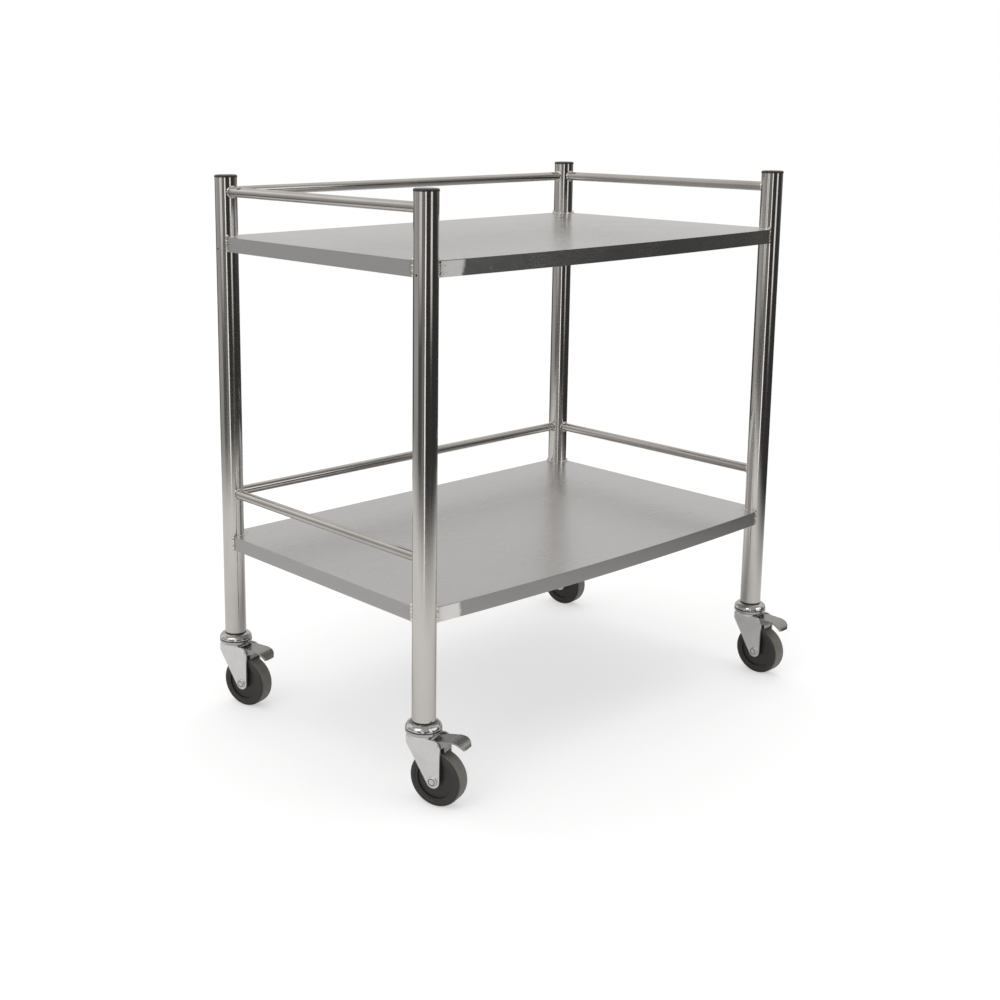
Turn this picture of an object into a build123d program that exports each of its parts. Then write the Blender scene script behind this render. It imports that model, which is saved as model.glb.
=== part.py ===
from build123d import *
import math
import os

# Two-shelf stainless instrument cart on four braked swivel castors.
# Millimetres, +Z up, X along the long side, the open side faces -Y.
# The model is laid out about the middle of the four posts, then moved so that its
# origin is the bottom centre of its bounding box.

# ---- driving dimensions: frame ----
HEIGHT = 800.0  # floor to the top of the end caps
POST_PITCH_X = 708.0  # between post centres along the long side
POST_PITCH_Y = 430.0  # between post centres across the cart
POST_R = 16.0
POST_WALL = 1.5
CAP_HEAD = 3.5
CAP_STEM = 18.0
RAIL_R = 7.0
RAIL_WALL = 1.0
RAIL_RISE = 64.0  # rail centreline above the shelf under it
TOP_SHELF_Z = 712.0
LOWER_SHELF_Z = 266.0
SHEET = 1.2
FLANGE = 21.0  # depth of the shelf's turned-down edge
LIP = 11.0  # width of the edge's inward return
SHELF_OVER = 9.5  # shelf face outside the line of the post centres
FRONT_BOW = 12.5  # how far the open front edge bows out at mid length
VENT_R = 1.5
VENT_DROP = 17.0  # vent hole below the top shelf's surface

# ---- driving dimensions: castor ----
WHEEL_R = 37.5
WHEEL_W = 25.0
TREAD_SHOULDER = 5.0
RIM_R = 30.0
BOSS_R = 9.0
RIM_WALL = 4.0
RIM_HALF = 11.7  # wheel centre's rim, half width, just inside the tyre
WEB_HALF = 9.0
TRAIL = 23.0  # swivel axis to wheel axle
CUP_R = 24.5
CUP_TOP = 111.0
CUP_BOTTOM = 97.5
CUP_WALL = 1.8
CUP_RIM = 4.0  # height of the cup's straight side
CUP_SHOULDER = 8.0
COLLAR = 2.0  # socket collar between the cup and the post
SOCKET_STEM = 42.0
STEM_R = 6.0
STEM_TOP = 150.0
RUNNING_FIT = 0.05  # radial
LEG = 2.5  # fork plate
FORK_HALF = 17.5  # outside of the fork, half width
CROWN_Z = 94.0
CROWN_R = 22.0
CROWN_FRONT, CROWN_BACK = 17.0, -16.0
RACE_RING = 2.2  # thickness of the crown's raised ring
AXLE_R = 4.0
AXLE_HEAD_R = 6.5
AXLE_HEAD = 3.0
AXLE_END = 7.5  # thread beyond the fork
NUT_SIZE = 6.5  # centre to flat
NUT = 6.0
EYE_R = 9.5  # rounded lower end of a fork leg
PIN_R = 2.0
PIN_Y, PIN_Z = -27.0, 87.0  # brake pin from the swivel axis and the floor
PIN_HEAD_R = 3.4
PIN_HEAD = 1.2
PEDAL_W = 29.0
PEDAL_LEN = 66.0  # swivel axis to the pedal's tip
PEDAL_SHEET = 2.0
PEDAL_RISE = 6.0  # pedal's top above its pin
SHOE_W, SHOE_L = 18.0, 9.0
BRAKE_TRAVEL = 10.0  # degrees between pressed and released
BALLS = 14
BALL_R = 2.3
BALL_PITCH_R = 16.5

# Each castor: corner signs, rest angle of the swivel, and brake released or pressed.
CASTORS = {
    "front_left": (-1, -1, 19.0, True),
    "back_left": (-1, 1, 16.0, False),
    "front_right": (1, -1, 1.5, False),
    "back_right": (1, 1, 10.0, False),
}

HALF_X = POST_PITCH_X / 2
HALF_Y = POST_PITCH_Y / 2
POST_TOP = HEIGHT - CAP_HEAD
POST_BOTTOM = CUP_TOP + COLLAR
BALL_Z = CROWN_Z + 0.3 + BALL_R
RACE_Z = BALL_Z + BALL_R + 0.2


def rod(radius, z0, z1):
    """Upright cylinder between two heights."""
    return Pos(0, 0, (z0 + z1) / 2) * Cylinder(radius, z1 - z0)


def rod_x(radius, x0, x1, y=0.0, z=0.0):
    """Cylinder along X between two stations."""
    return Pos((x0 + x1) / 2, y, z) * Rot(0, 90, 0) * Cylinder(radius, abs(x1 - x0))


def spun(*outline):
    """Solid of revolution about Z from (radius, height) points."""
    return revolve(Plane.XZ * make_face(Polyline(*outline, close=True)), Axis.Z)


# ---- frame ----
def post(side_x):
    """Open tube with one vent hole on its outboard face, closed later by cap and socket."""
    tube = rod(POST_R, POST_BOTTOM, POST_TOP) - rod(POST_R - POST_WALL, POST_BOTTOM, POST_TOP)
    vent = rod_x(VENT_R, side_x * (POST_R - 2 * POST_WALL), side_x * (POST_R + 2))
    return tube - Pos(0, 0, TOP_SHELF_Z - VENT_DROP) * vent


def post_cap():
    """Moulded end cap: a round-edged head over a hollow push-in stem."""
    head = rod(POST_R + 0.6, 0, CAP_HEAD)
    head = fillet(head.edges().group_by(Axis.Z)[-1], CAP_HEAD - 1.2)
    bore = POST_R - POST_WALL - RUNNING_FIT
    stem = rod(bore, -CAP_STEM, 0) - rod(bore - 2, -CAP_STEM, -2)
    return Pos(0, 0, POST_TOP) * (head + stem)


def shelf_outline(inset):
    """Shelf plan: a rectangle whose front edge bows outwards."""
    x = HALF_X + SHELF_OVER - inset
    y = HALF_Y + SHELF_OVER - inset
    front = ThreePointArc((-x, -y), (0, -y - FRONT_BOW), (x, -y))
    return make_face(front + Polyline((x, -y), (x, y), (-x, y), (-x, -y)))


def shelf(top):
    """Inverted pan with returned lips, notched round the posts."""
    below = top - FLANGE
    pan = Pos(0, 0, below) * extrude(shelf_outline(0), FLANGE)
    pan -= Pos(0, 0, below + SHEET) * extrude(shelf_outline(SHEET), FLANGE - 2 * SHEET)
    pan -= Pos(0, 0, below - SHEET) * extrude(shelf_outline(LIP), 3 * SHEET)
    for sx, sy in ((-1, -1), (1, -1), (1, 1), (-1, 1)):
        pan -= Pos(sx * HALF_X, sy * HALF_Y, 0) * rod(POST_R, below - 1, top + 1)
    return pan


def rail(length):
    """Tube along X, its ends coped to the posts that it is welded to."""
    tube = rod_x(RAIL_R, -length / 2, length / 2) - rod_x(RAIL_R - RAIL_WALL, -length / 2, length / 2)
    for end in (-length / 2, length / 2):
        tube -= Pos(end, 0, 0) * rod(POST_R, -POST_R, POST_R)
    return tube


def rails(prefix, height):
    """Left, back and right rails of one shelf; the front stays open."""
    return {
        f"{prefix}_rail_left": Pos(-HALF_X, 0, height) * Rot(0, 0, 90) * rail(POST_PITCH_Y),
        f"{prefix}_rail_right": Pos(HALF_X, 0, height) * Rot(0, 0, 90) * rail(POST_PITCH_Y),
        f"{prefix}_rail_back": Pos(0, HALF_Y, height) * rail(POST_PITCH_X),
    }


def frame():
    nodes = {"top_shelf": shelf(TOP_SHELF_Z), "lower_shelf": shelf(LOWER_SHELF_Z)}
    nodes |= rails("top", TOP_SHELF_Z + RAIL_RISE) | rails("lower", LOWER_SHELF_Z + RAIL_RISE)
    caps = []
    for corner, (sx, sy, _, _) in CASTORS.items():
        place = Pos(sx * HALF_X, sy * HALF_Y, 0)
        nodes[f"post_{corner}"] = place * post(sx)
        caps.append(place * post_cap())
    nodes["post_caps"] = Compound(caps)
    return nodes


# ---- castor, about its swivel axis, trailing towards -Y ----
def socket():
    """Plastic socket pressed up into the post, with a collar under the tube."""
    sleeve = rod(POST_R - POST_WALL, POST_BOTTOM, POST_BOTTOM + SOCKET_STEM)
    return sleeve + rod(POST_R, CUP_TOP, POST_BOTTOM) - rod(STEM_R, CUP_TOP, STEM_TOP + 10)


def stem():
    """Kingpin: head under the crown, ball race under the cup, shank up the socket."""
    head_top = CROWN_Z - LEG - 0.3
    return spun(
        (0, head_top - 3), (11, head_top - 3), (11, head_top), (STEM_R, head_top),
        (STEM_R, RACE_Z), (BALL_PITCH_R + 3, RACE_Z), (BALL_PITCH_R + 3, RACE_Z + 2),
        (STEM_R, RACE_Z + 2), (STEM_R, STEM_TOP - 1), (STEM_R - 1, STEM_TOP), (0, STEM_TOP),
    )


def cup():
    """Pressed upper bearing cup: a shallow bell with a rolled rim."""
    def bell(radius, top, shoulder):
        rim = CUP_BOTTOM + CUP_RIM
        side = Line((0, CUP_BOTTOM), (radius, CUP_BOTTOM)) + Line((radius, CUP_BOTTOM), (radius, rim))
        middle = (radius - 0.3 * shoulder, top - 0.3 * (top - rim))
        turn = ThreePointArc((radius, rim), middle, (radius - shoulder, top))
        roof = Line((radius - shoulder, top), (0, top)) + Line((0, top), (0, CUP_BOTTOM))
        return revolve(Plane.XZ * make_face(side + turn + roof), Axis.Z)

    shell = bell(CUP_R, CUP_TOP, CUP_SHOULDER)
    shell -= bell(CUP_R - CUP_WALL, CUP_TOP - CUP_WALL, CUP_SHOULDER)
    return shell - rod(STEM_R, CUP_BOTTOM, CUP_TOP + 1)


def balls():
    """Bearing balls between the crown and the kingpin's race."""
    ring = PolarLocations(BALL_PITCH_R, BALLS)
    return Compound([Pos(0, 0, BALL_Z) * place * Sphere(BALL_R) for place in ring])


def leg_outline():
    """Side view of a fork leg: upright front, slanting to a rounded eye, curved back."""
    front, crown_drop, back = CROWN_FRONT, CROWN_Z - 10, PIN_Y - 6
    eye_y, eye_z = -TRAIL, WHEEL_R
    run, drop = front - eye_y, crown_drop - eye_z
    slant = math.atan2(drop, run)
    tangent = slant - math.acos(EYE_R / math.hypot(run, drop))
    touch = (eye_y + EYE_R * math.cos(tangent), eye_z + EYE_R * math.sin(tangent))
    outline = Line((front, CROWN_Z), (front, crown_drop)) + Line((front, crown_drop), touch)
    foot = (eye_y - 0.3 * EYE_R, eye_z - EYE_R * math.sqrt(1 - 0.3**2))
    outline += ThreePointArc(touch, foot, (eye_y - EYE_R, eye_z))
    outline += Line((eye_y - EYE_R, eye_z), (back, PIN_Z - 4))
    outline += ThreePointArc((back, PIN_Z - 4), (back + 3.2, PIN_Z + 3.8), (back + 11, CROWN_Z))
    outline += Line((back + 11, CROWN_Z), (front, CROWN_Z))
    return make_face(outline)


def fork():
    """Pressed fork: two legs, crown and the raised outer race ring."""
    leg = extrude(Plane.YZ * leg_outline(), LEG)
    body = Pos(FORK_HALF - LEG, 0, 0) * leg + Pos(-FORK_HALF, 0, 0) * leg
    plate = rod(CROWN_R, CROWN_Z - LEG, CROWN_Z)
    length = CROWN_FRONT - CROWN_BACK
    web = Pos(0, CROWN_BACK + length / 2, CROWN_Z - LEG / 2) * Box(2 * FORK_HALF, length, LEG)
    behind = Pos(0, CROWN_BACK - CROWN_R, CROWN_Z) * Box(3 * CROWN_R, 2 * CROWN_R, CROWN_R)
    ring = rod(CROWN_R, CROWN_Z, CROWN_Z + 2) - rod(CROWN_R - RACE_RING, CROWN_Z, CROWN_Z + 2)
    plate = (plate - behind) + web
    ring -= behind
    body += plate + ring
    body -= rod(STEM_R + RUNNING_FIT, CROWN_Z - 2 * LEG, CROWN_Z + LEG)
    body -= rod_x(AXLE_R, -FORK_HALF - 1, FORK_HALF + 1, -TRAIL, WHEEL_R)
    return body - rod_x(PIN_R, -FORK_HALF - 1, FORK_HALF + 1, PIN_Y, PIN_Z)


def axle():
    """Round-headed axle bolt, its head on the -X side."""
    shank = rod_x(AXLE_R, -FORK_HALF, FORK_HALF + AXLE_END, -TRAIL, WHEEL_R)
    head = rod_x(AXLE_HEAD_R, -FORK_HALF - AXLE_HEAD, -FORK_HALF, -TRAIL, WHEEL_R)
    return shank + fillet(head.edges().group_by(Axis.X)[0], 0.4 * AXLE_HEAD)


def axle_nut():
    """Hexagon nut on the +X side."""
    hexagon = Plane.YZ * extrude(RegularPolygon(NUT_SIZE, 6, major_radius=False), NUT)
    nut = Pos(FORK_HALF, -TRAIL, WHEEL_R) * hexagon
    return nut - rod_x(AXLE_R, FORK_HALF - 1, FORK_HALF + NUT + 1, -TRAIL, WHEEL_R)


def hub():
    """Moulded wheel centre: web disc, rim and boss."""
    rim = rod_x(RIM_R, -RIM_HALF, RIM_HALF) - rod_x(RIM_R - RIM_WALL, -RIM_HALF, RIM_HALF)
    web = rod_x(RIM_R - RIM_WALL, -WEB_HALF, WEB_HALF)
    boss = rod_x(BOSS_R, -FORK_HALF + LEG + 0.5, FORK_HALF - LEG - 0.5)
    wheel = rim + web + boss - rod_x(AXLE_R + RUNNING_FIT, -FORK_HALF, FORK_HALF)
    return Pos(0, -TRAIL, WHEEL_R) * wheel


def tyre():
    """Rubber tread band with rounded shoulders."""
    band = rod_x(WHEEL_R, -WHEEL_W / 2, WHEEL_W / 2)
    band = fillet(band.edges().filter_by(GeomType.CIRCLE), TREAD_SHOULDER)
    return Pos(0, -TRAIL, WHEEL_R) * (band - rod_x(RIM_R, -WHEEL_W, WHEEL_W))


def pedal_side(thin):
    """Side view of the pedal's top sheet, inset by thin from its upper skin."""
    top, knee, tip = PIN_Z + PEDAL_RISE - thin, -46.0, -PEDAL_LEN + thin
    return (
        Line((PIN_Y + 7.5, top), (knee, top - 0.5))
        + ThreePointArc((knee, top - 0.5), (-57.5 + 0.4 * thin, top - 2.8), (tip + 1.0, top - 9))
        + Line((tip + 1.0, top - 9), (tip, top - 13 + thin))
    )


def pedal(released):
    """Pressed brake pedal: bent top sheet, side skirts with pin holes, brake shoe."""
    heel, floor = PIN_Y + 7.5, PIN_Z + PEDAL_RISE - 13
    outer, inner = pedal_side(0), pedal_side(PEDAL_SHEET)
    ends = Line(outer @ 0, inner @ 0) + Line(outer @ 1, inner @ 1)
    sheet = extrude(Plane.YZ * make_face(outer + inner + ends), PEDAL_W / 2, both=True)
    plan = Pos((0, (heel - PEDAL_LEN) / 2)) * Rectangle(PEDAL_W, heel + PEDAL_LEN)
    plan = fillet(plan.vertices().sort_by(Axis.Y)[:2], 9)
    sheet &= Pos(0, 0, floor - 5) * extrude(plan, 40)
    skirt_face = make_face(Polyline(
        (heel, PIN_Z + 5), (heel, PIN_Z - 4), (PIN_Y - 6, PIN_Z - 4), (-46, PIN_Z + 1), (-46, PIN_Z + 5),
        close=True,
    ))
    skirt = extrude(Plane.YZ * skirt_face, PEDAL_SHEET)
    body = sheet + Pos(PEDAL_W / 2 - PEDAL_SHEET, 0, 0) * skirt + Pos(-PEDAL_W / 2, 0, 0) * skirt
    shoe_low, shoe_top = 2 * WHEEL_R + 0.6, PIN_Z + PEDAL_RISE - PEDAL_SHEET
    body += Pos(0, PIN_Y - 3, (shoe_low + shoe_top) / 2) * Box(SHOE_W, SHOE_L, shoe_top - shoe_low)
    body -= rod_x(PIN_R + RUNNING_FIT, -PEDAL_W, PEDAL_W, PIN_Y, PIN_Z)
    if released:
        body = Pos(0, PIN_Y, PIN_Z) * Rot(-BRAKE_TRAVEL, 0, 0) * Pos(0, -PIN_Y, -PIN_Z) * body
    return body


def brake_pin():
    """Rivet through both legs, a flat head each side."""
    pin = rod_x(PIN_R, -FORK_HALF - PIN_HEAD, FORK_HALF + PIN_HEAD, PIN_Y, PIN_Z)
    for x in (-FORK_HALF - PIN_HEAD, FORK_HALF):
        pin += rod_x(PIN_HEAD_R, x, x + PIN_HEAD, PIN_Y, PIN_Z)
    return pin


def castor(name, released):
    return {
        f"{name}_socket": socket(), f"{name}_stem": stem(), f"{name}_cup": cup(),
        f"{name}_balls": balls(), f"{name}_fork": fork(), f"{name}_axle": axle(),
        f"{name}_axle_nut": axle_nut(), f"{name}_hub": hub(), f"{name}_tyre": tyre(),
        f"{name}_pedal": pedal(released), f"{name}_brake_pin": brake_pin(),
    }


def assembly():
    """Every node in its place, about the middle of the four posts."""
    nodes = frame()
    for corner, (sx, sy, turn, released) in CASTORS.items():
        place = Pos(sx * HALF_X, sy * HALF_Y, 0) * Rot(0, 0, turn)
        for name, piece in castor(f"castor_{corner}", released).items():
            nodes[name] = place * piece
    return nodes


def origin_shift(nodes):
    """Moves the bottom centre of the whole bounding box to the origin."""
    boxes = [piece.bounding_box() for piece in nodes.values()]
    mid_x = (min(b.min.X for b in boxes) + max(b.max.X for b in boxes)) / 2
    mid_y = (min(b.min.Y for b in boxes) + max(b.max.Y for b in boxes)) / 2
    return Pos(-mid_x, -mid_y, -min(b.min.Z for b in boxes))


def main():
    nodes = assembly()
    shift = origin_shift(nodes)
    os.makedirs("parts", exist_ok=True)
    for name, piece in nodes.items():
        export_step(shift * piece, f"parts/{name}.step")
    print("origin shift", [round(v, 3) for v in shift.position])


if __name__ == "__main__":
    main()
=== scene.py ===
import math

import bmesh
import bpy
from mathutils import Matrix, Vector, noise

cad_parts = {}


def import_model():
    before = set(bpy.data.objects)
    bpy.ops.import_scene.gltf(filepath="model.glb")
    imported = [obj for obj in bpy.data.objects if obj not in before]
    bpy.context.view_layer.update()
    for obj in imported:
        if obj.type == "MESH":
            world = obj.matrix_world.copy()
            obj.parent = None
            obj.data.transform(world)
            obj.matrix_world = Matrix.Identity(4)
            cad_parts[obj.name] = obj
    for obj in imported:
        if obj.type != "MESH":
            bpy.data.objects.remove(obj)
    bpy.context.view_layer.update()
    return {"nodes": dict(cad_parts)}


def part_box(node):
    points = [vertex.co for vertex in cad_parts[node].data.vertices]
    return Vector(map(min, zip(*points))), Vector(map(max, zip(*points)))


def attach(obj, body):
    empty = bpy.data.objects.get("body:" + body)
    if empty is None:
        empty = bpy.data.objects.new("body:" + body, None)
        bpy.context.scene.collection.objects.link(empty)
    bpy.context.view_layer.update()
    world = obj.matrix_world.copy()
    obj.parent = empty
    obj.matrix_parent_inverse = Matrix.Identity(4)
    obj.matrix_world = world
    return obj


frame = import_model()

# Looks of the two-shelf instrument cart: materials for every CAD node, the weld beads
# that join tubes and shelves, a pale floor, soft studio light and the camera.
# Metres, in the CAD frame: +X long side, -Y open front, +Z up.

NODES = frame["nodes"]
CORNERS = ("front_left", "front_right", "back_left", "back_right")
UP = Vector((0, 0, 1))

# ---- sizes read from the frame ----


def centre(node):
    low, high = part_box(node)
    return (Vector(low) + Vector(high)) / 2


def width(node, index):
    low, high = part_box(node)
    return high[index] - low[index]


POST_AT = {corner: centre(f"post_{corner}") for corner in CORNERS}
POST_R = width("post_front_left", 0) / 2
RAIL_R = width("top_rail_back", 2) / 2
MIDDLE = sum(POST_AT.values(), Vector()) / len(CORNERS)
HALF_SPAN = POST_AT["back_right"] - MIDDLE

# ---- welds ----
BEAD_R = 0.0014  # bead on a rail end
SADDLE_R = RAIL_R + 0.4 * BEAD_R  # its centre line, round the rail
SADDLE_OUT = 0.3 * BEAD_R  # how far that line stands off the post
SEAM_R = 0.0009  # seam round the notch on top of a shelf corner
SEAM_OUT = 0.0003  # how far its centre line stands off the post
FLANGE_BEAD_R = 0.0024  # bead between a flange and a post
FLANGE_BEAD_OUT = 0.0006  # likewise
FLANGE_BEAD_RISE = 0.004  # how far it runs on above the shelf
SADDLE_STEPS, SEAM_STEPS, FLANGE_STEPS = 40, 24, 20
LUMP = 0.35  # how much the beads swell and shrink, as a share of their radius
LUMPS_PER_METRE = 900
TIP = 0.35  # share of the radius that an open bead thins towards at its ends
TIP_POINTS = 3  # points over which it thins
BEAD_SIDES = 8
NEAR_UPRIGHT = 0.2  # sine of a bead's lean from upright, up to which any side serves for its rings
RAIL_SEED, SEAM_SEED, FLANGE_SEED, FLANGE_SIDE_SEED = 7.3, 5.1, 3.7, 100  # offsets between the beads' noise

# ---- wear, details, painted highlight and painted shade drawn by the materials ----
CUP_JOINT_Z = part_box("castor_front_left_cup")[0][2] + 0.0042  # dark rolled joint round a castor's cup
CUP_JOINT_EDGE = (0.0006, 0.0010)  # distances over which it fades into the plate
AXLE_GROOVE_R = 0.0044  # dark ring on the axle's head
AXLE_GROOVE_EDGE = (0.0003, 0.0007)  # likewise
HIGHLIGHT_EDGE = (0.046, 0.053)  # how far from a left post's axis a flange's painted highlight ends
HIGHLIGHT_RAGGED = 0.003  # how far that edge wanders
FLANGE_BAND = (HALF_SPAN.y + 0.003, HALF_SPAN.y + 0.005)  # beyond this lies a front or back flange
FLANGE_TOP = (-0.0012, -0.0006)  # where the flange turns into the shelf's top, below its surface
HEAT_REACH = (POST_R, POST_R + 0.011)  # straw tint, from a post's axis
HEAT_AMOUNT = 0.55
SPATTER_REACH = (0.022, 0.04)  # fine weld spatter, from a post's axis
SPATTER_AMOUNT = 0.8
BRUSHED = 0.65  # how strongly the sheet's gloss stretches across its scratches
END_GLOSS = (0, 0.3, 0)  # gives the end flanges, which face along X, a gloss direction too
HIGHLIGHT_ROUGH = 0.16  # roughness that the painted highlight patch adds
HIGHLIGHT_METAL = 0.5  # how metallic the painted highlight patch leaves the sheet
FLANGE_TO_TOP = (0.3, 0.7)  # how level the sheet faces, from a flange round its bend to the top
NOISE_BAND = (0.3, 0.7)  # most of a noise lies between these

# ---- colours, linear ----
TUBE_CLEAN, TUBE_SMEARED = (0.62, 0.60, 0.575), (0.54, 0.52, 0.495)
RAIL_PAINTED_SHADE = 0.82  # painted shade: the rails' steel is the posts', darkened to this share of their brightness
SHEET_DULL, SHEET_BRIGHT = (0.585, 0.578, 0.577), (0.605, 0.598, 0.597)
# painted shade: dark grey that the flanges are darkened towards
FLANGE_PAINTED_SHADE = (0.20, 0.19, 0.185)
# painted highlight: near-white laid on the flanges beside the left posts
SHEET_PAINTED_HIGHLIGHT = (0.96, 0.945, 0.935)
LOWER_PAINTED_SHADE = 0.5  # share of painted shade on the lower shelf's flanges
HEAT_TINT = (0.42, 0.33, 0.22)
SPATTER = (0.12, 0.10, 0.08)
WELD_HOLLOW, WELD_CROWN = (0.60, 0.55, 0.47), (0.80, 0.79, 0.77)
CHROME, CUP_JOINT = (0.50, 0.495, 0.49), (0.015, 0.014, 0.013)
ZINC, PEDAL_ZINC = (0.76, 0.755, 0.75), (0.34, 0.33, 0.32)
BOLT_BRIGHT, BOLT_DULL, BOLT_GROOVE = (0.72, 0.71, 0.71), (0.60, 0.59, 0.58), (0.06, 0.055, 0.05)
BLACK_PLASTIC, HUB_PLASTIC = (0.016, 0.0155, 0.015), (0.022, 0.02, 0.019)
TREAD, TREAD_DUST, TYRE_WALL = (0.145, 0.138, 0.125), (0.20, 0.19, 0.17), (0.032, 0.03, 0.029)
FLOOR_PAPER, FLOOR_GLOW = (0.8, 0.8, 0.8), (0.985, 0.99, 1.0)
BACKDROP, SOFTBOX = (1, 1, 1), (1.0, 0.985, 0.965)

# ---- node helpers ----
RISE, FALL = (0, 1), (1, 0)
MIX_FACTOR, MIX_FIRST, MIX_SECOND, MIX_RESULT = 0, 6, 7, 2  # a colour mix's sockets
SCALAR_RESULTS = ("LENGTH", "DISTANCE", "DOT_PRODUCT")


def add(tree, kind, inputs=None, **settings):
    """One node with its settings and inputs; an input is a value or another node's output."""
    node = tree.nodes.new(kind)
    for key, value in settings.items():
        setattr(node, key, value)
    for key, value in (inputs or {}).items():
        if isinstance(value, bpy.types.NodeSocket):
            tree.links.new(value, node.inputs[key])
        else:
            node.inputs[key].default_value = value
    return node


def math_node(tree, operation, *values):
    return add(tree, "ShaderNodeMath", dict(enumerate(values)), operation=operation).outputs[0]


def product(tree, first, *others):
    for other in others:
        first = math_node(tree, "MULTIPLY", first, other)
    return first


def difference(tree, first, second):
    """How far apart two values are, whichever is larger."""
    return math_node(tree, "ABSOLUTE", math_node(tree, "SUBTRACT", first, second))


def vector_node(tree, operation, *vectors):
    """Result of a vector operation, a number or a vector as the operation gives."""
    made = add(tree, "ShaderNodeVectorMath", dict(enumerate(vectors)), operation=operation)
    return made.outputs["Value" if operation in SCALAR_RESULTS else "Vector"]


def axis(tree, vector, letter):
    return add(tree, "ShaderNodeSeparateXYZ", {0: vector}).outputs[letter]


def place(tree):
    """Object coordinates, which are the CAD frame's metres at rest."""
    return add(tree, "ShaderNodeTexCoord").outputs["Object"]


def facing(tree):
    """The surface's direction in object space."""
    return add(tree, "ShaderNodeTexCoord").outputs["Normal"]


def grain(tree, per_metre, detail=4.0, rough=0.5):
    """Noise factor in object space; per_metre is its fineness, for all axes or for each."""
    scale = (per_metre,) * 3 if isinstance(per_metre, int) else per_metre
    where = add(tree, "ShaderNodeMapping", {"Vector": place(tree), "Scale": scale}).outputs[0]
    return add(tree, "ShaderNodeTexNoise",
               {"Vector": where, "Scale": 1.0, "Detail": detail, "Roughness": rough}).outputs["Fac"]


def span(tree, value, source, target, soft=False):
    """Maps value from the source range to the target range, clamped."""
    return add(tree, "ShaderNodeMapRange", {
        "Value": value, "From Min": source[0], "From Max": source[1],
        "To Min": target[0], "To Max": target[1],
    }, interpolation_type="SMOOTHSTEP" if soft else "LINEAR").outputs[0]


def blend_colours(tree, factor, first, second):
    """Goes from the first colour to the second with the factor; the first may be a socket."""
    if not isinstance(first, bpy.types.NodeSocket):
        first = (*first, 1)
    inputs = {MIX_FACTOR: factor, MIX_FIRST: first, MIX_SECOND: (*second, 1)}
    return add(tree, "ShaderNodeMix", inputs, data_type="RGBA").outputs[MIX_RESULT]


def mix_shaders(tree, factor, first, second):
    return add(tree, "ShaderNodeMixShader", {0: factor, 1: first.outputs[0], 2: second.outputs[0]})


def bump(tree, shader, height, strength, distance, below=None):
    """Adds a bump; a second call chains onto the first through below."""
    inputs = {"Height": height, "Strength": strength, "Distance": distance}
    if below is not None:
        inputs["Normal"] = below
    made = add(tree, "ShaderNodeBump", inputs).outputs[0]
    tree.links.new(made, shader.inputs["Normal"])
    return made


def new_material(name, roughness, colour, metallic=0.0):
    """New material with plain values on its shader; returns it, its node tree and its shader."""
    mat = bpy.data.materials.new(name)
    mat.use_nodes = True
    tree = mat.node_tree
    shader = tree.nodes["Principled BSDF"]
    shader.inputs["Base Color"].default_value = (*colour, 1)
    shader.inputs["Roughness"].default_value = roughness
    shader.inputs["Metallic"].default_value = metallic
    return mat, tree, shader


def surface(tree, shader, colour, roughness):
    """Lets textures take the place of the plain colour and roughness."""
    tree.links.new(colour, shader.inputs["Base Color"])
    tree.links.new(roughness, shader.inputs["Roughness"])


# ---- materials ----


def tube_steel(name, along, shade=1.0):
    """Polished stainless tube: faint draw lines along it, hand smears, a warm cast; shade below 1 darkens
    its colour as painted shade.
    """
    # painted shade: both colours darkened by the share shade
    clean, smeared = ([shade * channel for channel in tone] for tone in (TUBE_CLEAN, TUBE_SMEARED))
    mat, tree, shader = new_material(name, 0.09, clean, 1.0)
    draw = grain(tree, [10.8 if number == along else 360 for number in range(3)], 6.0)
    smear = grain(tree, (9, 9, 5), 5.0, 0.6)
    speck = grain(tree, 900, 2.0)
    rough = math_node(tree, "ADD", span(tree, smear, (0.35, 0.75), (0.055, 0.15)),
                      span(tree, draw, NOISE_BAND, (-0.01, 0.035)))
    tone = blend_colours(tree, span(tree, smear, (0.4, 0.7), RISE), clean, smeared)
    surface(tree, shader, tone, rough)
    first = bump(tree, shader, draw, 0.05, 0.0006)
    bump(tree, shader, speck, 0.03, 0.00005, first)
    return mat


def painted_highlight_patch(tree, node):
    """Mask of the painted highlight: 1 on a shelf's front and back flanges close to the left posts, 0
    everywhere else.
    """
    where = place(tree)
    ragged = span(tree, grain(tree, 60, 3.0), NOISE_BAND, (-HIGHLIGHT_RAGGED, HIGHLIGHT_RAGGED))
    gap = math_node(tree, "SUBTRACT", axis(tree, where, "X"), POST_AT["front_left"].x)
    close = span(tree, math_node(tree, "ADD", gap, ragged), HIGHLIGHT_EDGE, FALL, soft=True)
    outside = span(tree, difference(tree, axis(tree, where, "Y"), MIDDLE.y), FLANGE_BAND, RISE)
    surface_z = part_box(node)[1][2]
    under = span(tree, axis(tree, where, "Z"), [surface_z + step for step in FLANGE_TOP], FALL)
    return product(tree, close, outside, under)


def post_distance(tree):
    """Distance on plan from the nearest post's centre line."""
    mirrored = vector_node(tree, "ABSOLUTE", vector_node(tree, "SUBTRACT", place(tree), MIDDLE))
    flat = vector_node(tree, "MULTIPLY", mirrored, (1, 1, 0))
    return vector_node(tree, "DISTANCE", flat, (HALF_SPAN.x, HALF_SPAN.y, 0))


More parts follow.
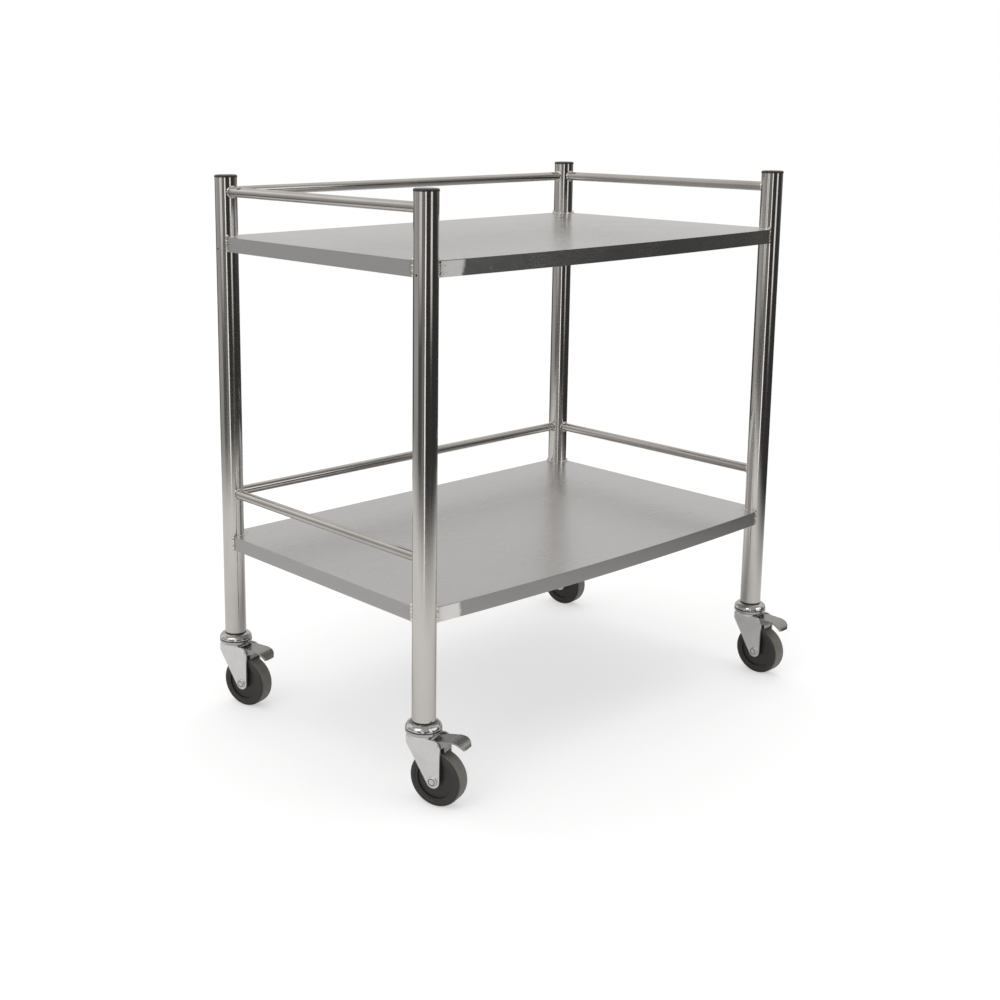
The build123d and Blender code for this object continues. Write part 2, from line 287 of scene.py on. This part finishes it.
def shelf_steel_painted_light(name, node, film):
    """No.4 brushed sheet: long fine scratches along X, soft marks, tinted by the welds; a painted highlight
    whitens the flanges beside the left posts, and film is the share of painted shade on the flanges.
    """
    mat, tree, shader = new_material(name, 0.3, SHEET_BRIGHT, 1.0)
    shader.inputs["Anisotropic"].default_value = BRUSHED
    turned = facing(tree)
    across = vector_node(tree, "ADD", vector_node(tree, "CROSS_PRODUCT", turned, (1, 0, 0)), END_GLOSS)
    tree.links.new(across, shader.inputs["Tangent"])
    brush = grain(tree, (9, 2600, 2600), 4.0, 0.6)
    broad = grain(tree, (2, 300, 300), 5.0)
    marks = grain(tree, 14, 6.0, 0.65)
    swirl = grain(tree, 700, 3.0)
    painted_highlight = painted_highlight_patch(tree, node)
    away = post_distance(tree)

    rough = math_node(tree, "ADD", span(tree, brush, NOISE_BAND, (0.21, 0.27)),
                      span(tree, marks, (0.45, 0.75), (0.0, 0.03)))
    rough = math_node(tree, "ADD", rough, product(tree, painted_highlight, HIGHLIGHT_ROUGH))

    tone = blend_colours(tree, span(tree, broad, NOISE_BAND, RISE), SHEET_DULL, SHEET_BRIGHT)
    level = math_node(tree, "ABSOLUTE", axis(tree, turned, "Z"))
    # painted shade: the flanges, the faces that are not level, darkened towards dark grey by the share film
    tone = blend_colours(tree, span(tree, level, FLANGE_TO_TOP, (film, 0), soft=True), tone, FLANGE_PAINTED_SHADE)
    # painted highlight: the flanges beside the left posts whitened
    tone = blend_colours(tree, painted_highlight, tone, SHEET_PAINTED_HIGHLIGHT)
    heat = product(tree, span(tree, away, HEAT_REACH, (HEAT_AMOUNT, 0), soft=True), marks)
    tone = blend_colours(tree, heat, tone, HEAT_TINT)
    spots = span(tree, grain(tree, 420, 1.0), (0.69, 0.73), RISE)
    spots = product(tree, spots, span(tree, away, SPATTER_REACH, (SPATTER_AMOUNT, 0), soft=True))
    tone = blend_colours(tree, spots, tone, SPATTER)

    surface(tree, shader, tone, rough)
    tree.links.new(span(tree, painted_highlight, RISE, (1, HIGHLIGHT_METAL)), shader.inputs["Metallic"])
    first = bump(tree, shader, brush, 0.05, 0.0001)
    bump(tree, shader, product(tree, swirl, painted_highlight), 0.35, 0.0002, first)
    return mat


def bead_steel(name):
    """Dressed weld metal: bright, lumpy and slightly straw coloured in the hollows."""
    mat, tree, shader = new_material(name, 0.24, WELD_CROWN, 1.0)
    lumps = grain(tree, 420)
    tone = blend_colours(tree, span(tree, lumps, (0.3, 0.55), RISE), WELD_HOLLOW, WELD_CROWN)
    surface(tree, shader, tone, span(tree, lumps, NOISE_BAND, (0.14, 0.34)))
    bump(tree, shader, lumps, 0.5, 0.0004)
    return mat


def chrome(name):
    """Bright plate over a drawn pressing: clear, slightly rippled, with a dark joint round the cups."""
    mat, tree, shader = new_material(name, 0.07, CHROME, 1.0)
    ripple = grain(tree, 110, 3.0)
    film = grain(tree, 300, 4.0, 0.7)
    off_joint = difference(tree, axis(tree, place(tree), "Z"), CUP_JOINT_Z)
    joint = span(tree, off_joint, CUP_JOINT_EDGE, FALL, soft=True)
    surface(tree, shader, blend_colours(tree, joint, CHROME, CUP_JOINT),
            span(tree, film, (0.3, 0.75), (0.05, 0.16)))
    first = bump(tree, shader, ripple, 0.35, 0.003)
    bump(tree, shader, film, 0.08, 0.0001, first)
    return mat


def zinc(name, colour, rough=0.34):
    """Bright zinc plate: satin, cloudy, finely pitted."""
    mat, tree, shader = new_material(name, rough, colour, 0.9)
    cloud = grain(tree, 70, 5.0, 0.6)
    pits = grain(tree, 1100, 3.0)
    darker = [0.93 * channel for channel in colour]
    tone = blend_colours(tree, span(tree, cloud, (0.35, 0.65), RISE), colour, darker)
    surface(tree, shader, tone, span(tree, cloud, NOISE_BAND, (rough - 0.04, rough + 0.05)))
    bump(tree, shader, pits, 0.12, 0.00015)
    return mat


def moulded(name, colour, rough):
    """Moulded plastic: satin skin with a fine texture and slight flow marks."""
    mat, tree, shader = new_material(name, rough, colour)
    skin = grain(tree, 1600, 3.0)
    flow = grain(tree, (60, 60, 160))
    lighter = [1.5 * channel + 0.004 for channel in colour]
    surface(tree, shader, blend_colours(tree, flow, colour, lighter),
            span(tree, flow, NOISE_BAND, (rough - 0.07, rough + 0.09)))
    bump(tree, shader, skin, 0.15, 0.0001)
    return mat


def axle_line(corner):
    """Unit vector along a castor's axle, square to its trail."""
    trail = centre(f"castor_{corner}_hub") - centre(f"castor_{corner}_stem")
    return Vector((-trail.y, trail.x, 0)).normalized()


def rubber(name, corner):
    """Thermoplastic tyre: warm grey tread, dusty where it rolls, and near-black side walls."""
    mat, tree, shader = new_material(name, 0.55, TREAD)
    sideways = vector_node(tree, "DOT_PRODUCT", facing(tree), axle_line(corner))
    wall = span(tree, math_node(tree, "ABSOLUTE", sideways), (0.45, 0.75), RISE, soft=True)
    dust = grain(tree, 130, 6.0, 0.65)
    scuff = grain(tree, (900, 500, 900), 3.0)
    tread = blend_colours(tree, span(tree, dust, (0.35, 0.7), RISE), TREAD, TREAD_DUST)
    surface(tree, shader, blend_colours(tree, wall, tread, TYRE_WALL),
            span(tree, scuff, NOISE_BAND, (0.42, 0.62)))
    bump(tree, shader, scuff, 0.2, 0.0002)
    return mat


def axle_zinc(name, corner):
    """Zinc bolt whose domed head has a dark groove round it."""
    mat, tree, shader = new_material(name, 0.3, BOLT_BRIGHT, 0.9)
    from_hub = vector_node(tree, "SUBTRACT", place(tree), centre(f"castor_{corner}_hub"))
    radius = vector_node(tree, "LENGTH", vector_node(tree, "CROSS_PRODUCT", from_hub, axle_line(corner)))
    groove = span(tree, difference(tree, radius, AXLE_GROOVE_R), AXLE_GROOVE_EDGE, FALL, soft=True)
    cloud = grain(tree, 300)
    plate = blend_colours(tree, cloud, BOLT_BRIGHT, BOLT_DULL)
    surface(tree, shader, blend_colours(tree, groove, plate, BOLT_GROOVE),
            span(tree, cloud, NOISE_BAND, (0.24, 0.38)))
    bump(tree, shader, groove, -0.5, 0.0004)
    return mat


# ---- dressing the CAD nodes ----
EDGE_ANGLE = math.radians(40)  # edges sharper than this are softened
EDGE_SEGMENTS = 2


def dress(node, material, bevel=0.0):
    """Puts one material on a CAD node and rounds its hard edges a little."""
    piece = NODES[node]
    piece.data.materials.clear()
    piece.data.materials.append(material)
    if bevel:
        edge = piece.modifiers.new("edge", "BEVEL")
        edge.width, edge.segments = bevel, EDGE_SEGMENTS
        edge.limit_method, edge.angle_limit = "ANGLE", EDGE_ANGLE
        edge.harden_normals = True


def dress_all():
    finishes = {
        "upright": tube_steel("post_steel", 2),
        # the rails' finishes carry painted shade
        "long": tube_steel("rail_steel_painted_shade_x", 0, RAIL_PAINTED_SHADE),
        "cross": tube_steel("rail_steel_painted_shade_y", 1, RAIL_PAINTED_SHADE),
        "black": moulded("black_plastic", BLACK_PLASTIC, 0.32),
        "hub": moulded("hub_plastic", HUB_PLASTIC, 0.42),
        "chrome": chrome("bright_chrome"),
        "zinc": zinc("zinc_plate", ZINC),
        "pedal": zinc("pedal_plate", PEDAL_ZINC, 0.2),
    }
    castor = {  # piece: its finish and the width of its bevel
        "socket": ("black", 0.0003), "stem": ("zinc", 0.0003), "cup": ("chrome", 0.0004),
        "balls": ("chrome", 0), "fork": ("zinc", 0.0005),
        "axle_nut": ("zinc", 0.0004), "brake_pin": ("zinc", 0.0003), "hub": ("hub", 0.0006),
        "pedal": ("pedal", 0.0005),
    }
    for corner in CORNERS:
        dress(f"post_{corner}", finishes["upright"])
        for piece, (finish, bevel) in castor.items():
            dress(f"castor_{corner}_{piece}", finishes[finish], bevel)
        dress(f"castor_{corner}_axle", axle_zinc(f"zinc_bolt_{corner}", corner), 0.0003)
        dress(f"castor_{corner}_tyre", rubber(f"grey_rubber_{corner}", corner), 0.0004)
    dress("post_caps", finishes["black"], 0.0003)
    # painted shade on the flanges: none on the top shelf, a share on the lower one
    for level, film in (("top", 0.0), ("lower", LOWER_PAINTED_SHADE)):
        dress(f"{level}_shelf", shelf_steel_painted_light(f"{level}_shelf_steel_painted_light", f"{level}_shelf", film), 0.0009)
        dress(f"{level}_rail_back", finishes["long"])
        for side in ("left", "right"):
            dress(f"{level}_rail_{side}", finishes["cross"])


# ---- weld beads ----


def thinning(index, count):
    """Share of its full radius that an open bead has at the point of this index."""
    from_end = min(1, (index + 0.5) / TIP_POINTS, (count - index - 0.5) / TIP_POINTS)
    return TIP + (1 - TIP) * math.sin(math.pi * from_end / 2)


def bead(mesh, path, radius, seed):
    """Sweeps a lumpy bead along a list of points; a path whose ends meet is closed."""
    closed = (path[0] - path[-1]).length < radius
    points = path[:-1] if closed else path
    count = len(points)
    rings = []
    for index, point in enumerate(points):
        before = points[(index - 1) % count] if closed or index else point
        after = points[(index + 1) % count] if closed or index < count - 1 else point
        tangent = (after - before).normalized()
        level_side = UP.cross(tangent)
        upright = level_side.length <= NEAR_UPRIGHT
        side = (tangent.orthogonal() if upright else level_side).normalized()
        other = tangent.cross(side)
        swell = 1 + LUMP * noise.noise(point * LUMPS_PER_METRE + Vector((seed, 0, 0)))
        if not closed:
            swell *= thinning(index, count)
        turns = (2 * math.pi * k / BEAD_SIDES for k in range(BEAD_SIDES))
        rings.append([mesh.verts.new(point + radius * swell * (side * math.cos(a) + other * math.sin(a)))
                      for a in turns])
    pairs = zip(rings, rings[1:] + rings[:1]) if closed else zip(rings, rings[1:])
    for first, second in pairs:
        for k in range(BEAD_SIDES):
            beside = (k + 1) % BEAD_SIDES
            mesh.faces.new((first[k], first[beside], second[beside], second[k]))
    if not closed:
        mesh.faces.new(reversed(rings[0]))
        mesh.faces.new(rings[-1])


def finish_piece(name, mesh, material):
    """Turns a bmesh into a smooth piece of the frame body."""
    bmesh.ops.recalc_face_normals(mesh, faces=mesh.faces)
    data = bpy.data.meshes.new(name)
    mesh.to_mesh(data)
    mesh.free()
    data.shade_smooth()
    data.materials.append(material)
    piece = bpy.data.objects.new(name, data)
    bpy.context.scene.collection.objects.link(piece)
    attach(piece, "frame")


def saddle(post, rail_z, direction):
    """Closed curve where a rail that leaves a post along direction meets the post's surface."""
    across = UP.cross(direction)
    points = []
    for step in range(SADDLE_STEPS + 1):
        turn = 2 * math.pi * step / SADDLE_STEPS
        aside = SADDLE_R * math.cos(turn)
        out = math.sqrt(POST_R**2 - aside**2) + SADDLE_OUT
        height = rail_z + SADDLE_R * math.sin(turn)
        points.append(Vector((post.x, post.y, height)) + direction * out + across * aside)
    points[-1] = points[0].copy()
    return points


def rail_welds(level, material):
    """A bead round both ends of the three rails of one level."""
    mesh = bmesh.new()
    ends = (  # rail, post, the way the rail leaves the post
        ("left", "front_left", (0, 1)), ("left", "back_left", (0, -1)),
        ("right", "front_right", (0, 1)), ("right", "back_right", (0, -1)),
        ("back", "back_left", (1, 0)), ("back", "back_right", (-1, 0)),
    )
    for number, (rail, corner, way) in enumerate(ends):
        height = centre(f"{level}_rail_{rail}").z
        bead(mesh, saddle(POST_AT[corner], height, Vector((*way, 0))), BEAD_R, number * RAIL_SEED)
    finish_piece(f"{level}_rail_welds", mesh, material)


def shelf_welds(level, material):
    """At each corner: a seam round the notch on top and a bead up each flange end."""
    mesh = bmesh.new()
    low, high = (Vector(c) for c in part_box(f"{level}_shelf"))
    over = high.x - max(at.x for at in POST_AT.values())  # from a post's axis out to the shelf's face
    reach = math.sqrt(POST_R**2 - over**2)  # from the axis along that face to the post's surface
    tall = high.z - low.z + FLANGE_BEAD_RISE
    start = -math.atan2(over, reach)
    turn = math.pi / 2 - 2 * start
    seam_r = POST_R + SEAM_OUT
    for number, corner in enumerate(CORNERS):
        at = POST_AT[corner]
        inward_x, inward_y = (1 if at.x < MIDDLE.x else -1), (1 if at.y < MIDDLE.y else -1)
        angles = [start + turn * step / SEAM_STEPS for step in range(SEAM_STEPS + 1)]
        notch = [(seam_r * math.cos(angle), seam_r * math.sin(angle)) for angle in angles]
        seam = [Vector((at.x + inward_x * x, at.y + inward_y * y, high.z)) for x, y in notch]
        bead(mesh, seam, SEAM_R, number * SEAM_SEED)
        near = reach + FLANGE_BEAD_OUT
        for x, y in ((near, -over), (-over, near)):
            foot = Vector((at.x + inward_x * x, at.y + inward_y * y, low.z))
            line = [foot + UP * (tall * step / FLANGE_STEPS) for step in range(FLANGE_STEPS + 1)]
            bead(mesh, line, FLANGE_BEAD_R, number * FLANGE_SEED + x * FLANGE_SIDE_SEED)
    finish_piece(f"{level}_shelf_welds", mesh, material)


# ---- studio ----
CAMERA_AT = Vector((-1.545, -1.518, 0.903))
CAMERA_HEADING, CAMERA_TILT, CAMERA_ROLL = 49.26, -11.60, -0.05  # degrees: from +X towards +Y, up, clockwise
CAMERA_LENS = 52.4
CAMERA_SHIFT = (0.104, -0.1)
FLOOR_EDGE, FLOOR_SEGMENTS = 3.0, 96
FLOOR_CENTRE = (MIDDLE.x - 0.3, MIDDLE.y + 0.2, 0)
FLOOR_FADE = (0.95, 2.0)  # distances over which the floor gives way to the backdrop
FLOOR_LIFT, FLOOR_GLOW_STRENGTH = 0.25, 1.9  # how far and how brightly its shadows are lifted to the eye
ROOM_RISE, ROOM_LIGHT = (-0.05, 0.6), (0.045, 0.50)  # the room brightens between these sines of elevation


def camera():
    data = bpy.data.cameras.new("camera")
    data.lens = CAMERA_LENS
    data.shift_x, data.shift_y = CAMERA_SHIFT
    seen = bpy.data.objects.new("camera", data)
    bpy.context.scene.collection.objects.link(seen)
    heading, tilt, roll = (math.radians(v) for v in (CAMERA_HEADING, CAMERA_TILT, CAMERA_ROLL))
    aim = (Matrix.Rotation(heading - math.pi / 2, 4, "Z") @ Matrix.Rotation(math.pi / 2 + tilt, 4, "X")
           @ Matrix.Rotation(-roll, 4, "Z"))
    seen.matrix_world = Matrix.Translation(CAMERA_AT) @ aim
    bpy.context.scene.camera = seen


def floor():
    """Pale floor round the cart that fades away into the backdrop."""
    mesh = bmesh.new()
    bmesh.ops.create_circle(mesh, cap_ends=True, segments=FLOOR_SEGMENTS, radius=FLOOR_EDGE)
    data = bpy.data.meshes.new("floor")
    mesh.to_mesh(data)
    mesh.free()
    mat, tree, shader = new_material("floor", 0.9, FLOOR_PAPER)
    shader.inputs["Specular IOR Level"].default_value = 0.0
    seen = add(tree, "ShaderNodeLightPath").outputs["Is Camera Ray"]
    glow = add(tree, "ShaderNodeEmission", {"Color": (*FLOOR_GLOW, 1), "Strength": FLOOR_GLOW_STRENGTH})
    paper = mix_shaders(tree, product(tree, seen, FLOOR_LIFT), shader, glow)
    away = vector_node(tree, "DISTANCE", place(tree), FLOOR_CENTRE)
    clear = add(tree, "ShaderNodeBsdfTransparent")
    fade = mix_shaders(tree, span(tree, away, FLOOR_FADE, RISE, soft=True), paper, clear)
    tree.links.new(fade.outputs[0], tree.nodes["Material Output"].inputs["Surface"])
    data.materials.append(mat)
    ground = bpy.data.objects.new("floor", data)
    bpy.context.scene.collection.objects.link(ground)


def studio_band(tree, where, heading, half_width, low, high, strength, soft):
    """Brightness of one upright light; its heading, from +X towards +Y, and elevations are in degrees."""
    a = math.radians(heading)
    flat = vector_node(tree, "NORMALIZE", vector_node(tree, "MULTIPLY", where, (1, 1, 0)))
    towards = vector_node(tree, "DOT_PRODUCT", flat, (math.cos(a), math.sin(a), 0))
    edges = [math.cos(math.radians(v)) for v in (half_width + soft, half_width)]
    aside = span(tree, towards, edges, RISE, soft=True)
    height = axis(tree, where, "Z")
    foot = [math.sin(math.radians(low + step)) for step in (-soft / 2, soft / 2)]
    head = [math.sin(math.radians(high + step)) for step in (-soft / 2, soft / 2)]
    above = span(tree, height, foot, RISE, soft=True)
    below = span(tree, height, head, FALL, soft=True)
    return product(tree, aside, above, below, strength)


def world():
    """White backdrop to the eye; a dim room with upright softboxes to the steel."""
    made = bpy.data.worlds.new("studio")
    bpy.context.scene.world = made
    made.use_nodes = True
    tree = made.node_tree
    tree.nodes.clear()
    where = add(tree, "ShaderNodeTexCoord").outputs["Generated"]
    bands = (  # heading, half width, low, high, strength, edge
        (-182, 11, -7, 45, 0.82, 5),
        (-82, 6, -8, 45, 1.1, 4),
        (-135, 2.5, -50, 35, 1.6, 2.5),
        (-150, 9, -20, 30, 0.14, 8),
        (-215, 50, -60, 15, 0.05, 25),
        (130, 22, -16, 40, 0.34, 14),
        (48, 62, 0, 12, 0.42, 12),
        (48, 62, 1.5, 80, 0.36, 22),
    )
    total = span(tree, axis(tree, where, "Z"), ROOM_RISE, ROOM_LIGHT, soft=True)
    for band in bands:
        total = math_node(tree, "ADD", total, studio_band(tree, where, *band))
    seen = add(tree, "ShaderNodeLightPath").outputs["Is Camera Ray"]
    backdrop = add(tree, "ShaderNodeBackground", {"Color": (*BACKDROP, 1), "Strength": 1.0})
    studio = add(tree, "ShaderNodeBackground", {"Color": (*SOFTBOX, 1), "Strength": total})
    add(tree, "ShaderNodeOutputWorld", {0: mix_shaders(tree, seen, studio, backdrop).outputs[0]})


def softbox(name, at, aim, size, power):
    data = bpy.data.lights.new(name, "AREA")
    data.shape, data.size, data.energy = "SQUARE", size, power
    lamp = bpy.data.objects.new(name, data)
    lamp.location = at
    lamp.rotation_euler = (Vector(aim) - Vector(at)).to_track_quat("-Z", "Y").to_euler()
    bpy.context.scene.collection.objects.link(lamp)
    return lamp


def lights():
    """Soft lamps: places and sides in metres, power in watts."""
    overhead = softbox("overhead", at=(0.1, 0.2, 3.0), aim=(0, 0, 0), size=3.2, power=38)
    overhead.visible_glossy = False  # the steel mirrors the room overhead instead
    softbox("left_key", at=(-2.6, -0.6, 2.3), aim=(0, 0, 0.3), size=1.6, power=14)
    softbox("right_fill", at=(1.4, -2.8, 1.9), aim=(0, 0, 0.3), size=1.6, power=9)


dress_all()
weld_metal = bead_steel("weld_metal")
for storey in ("top", "lower"):
    rail_welds(storey, weld_metal)
    shelf_welds(storey, weld_metal)
floor()
world()
lights()
camera()
bpy.context.scene.view_settings.view_transform = "Standard"
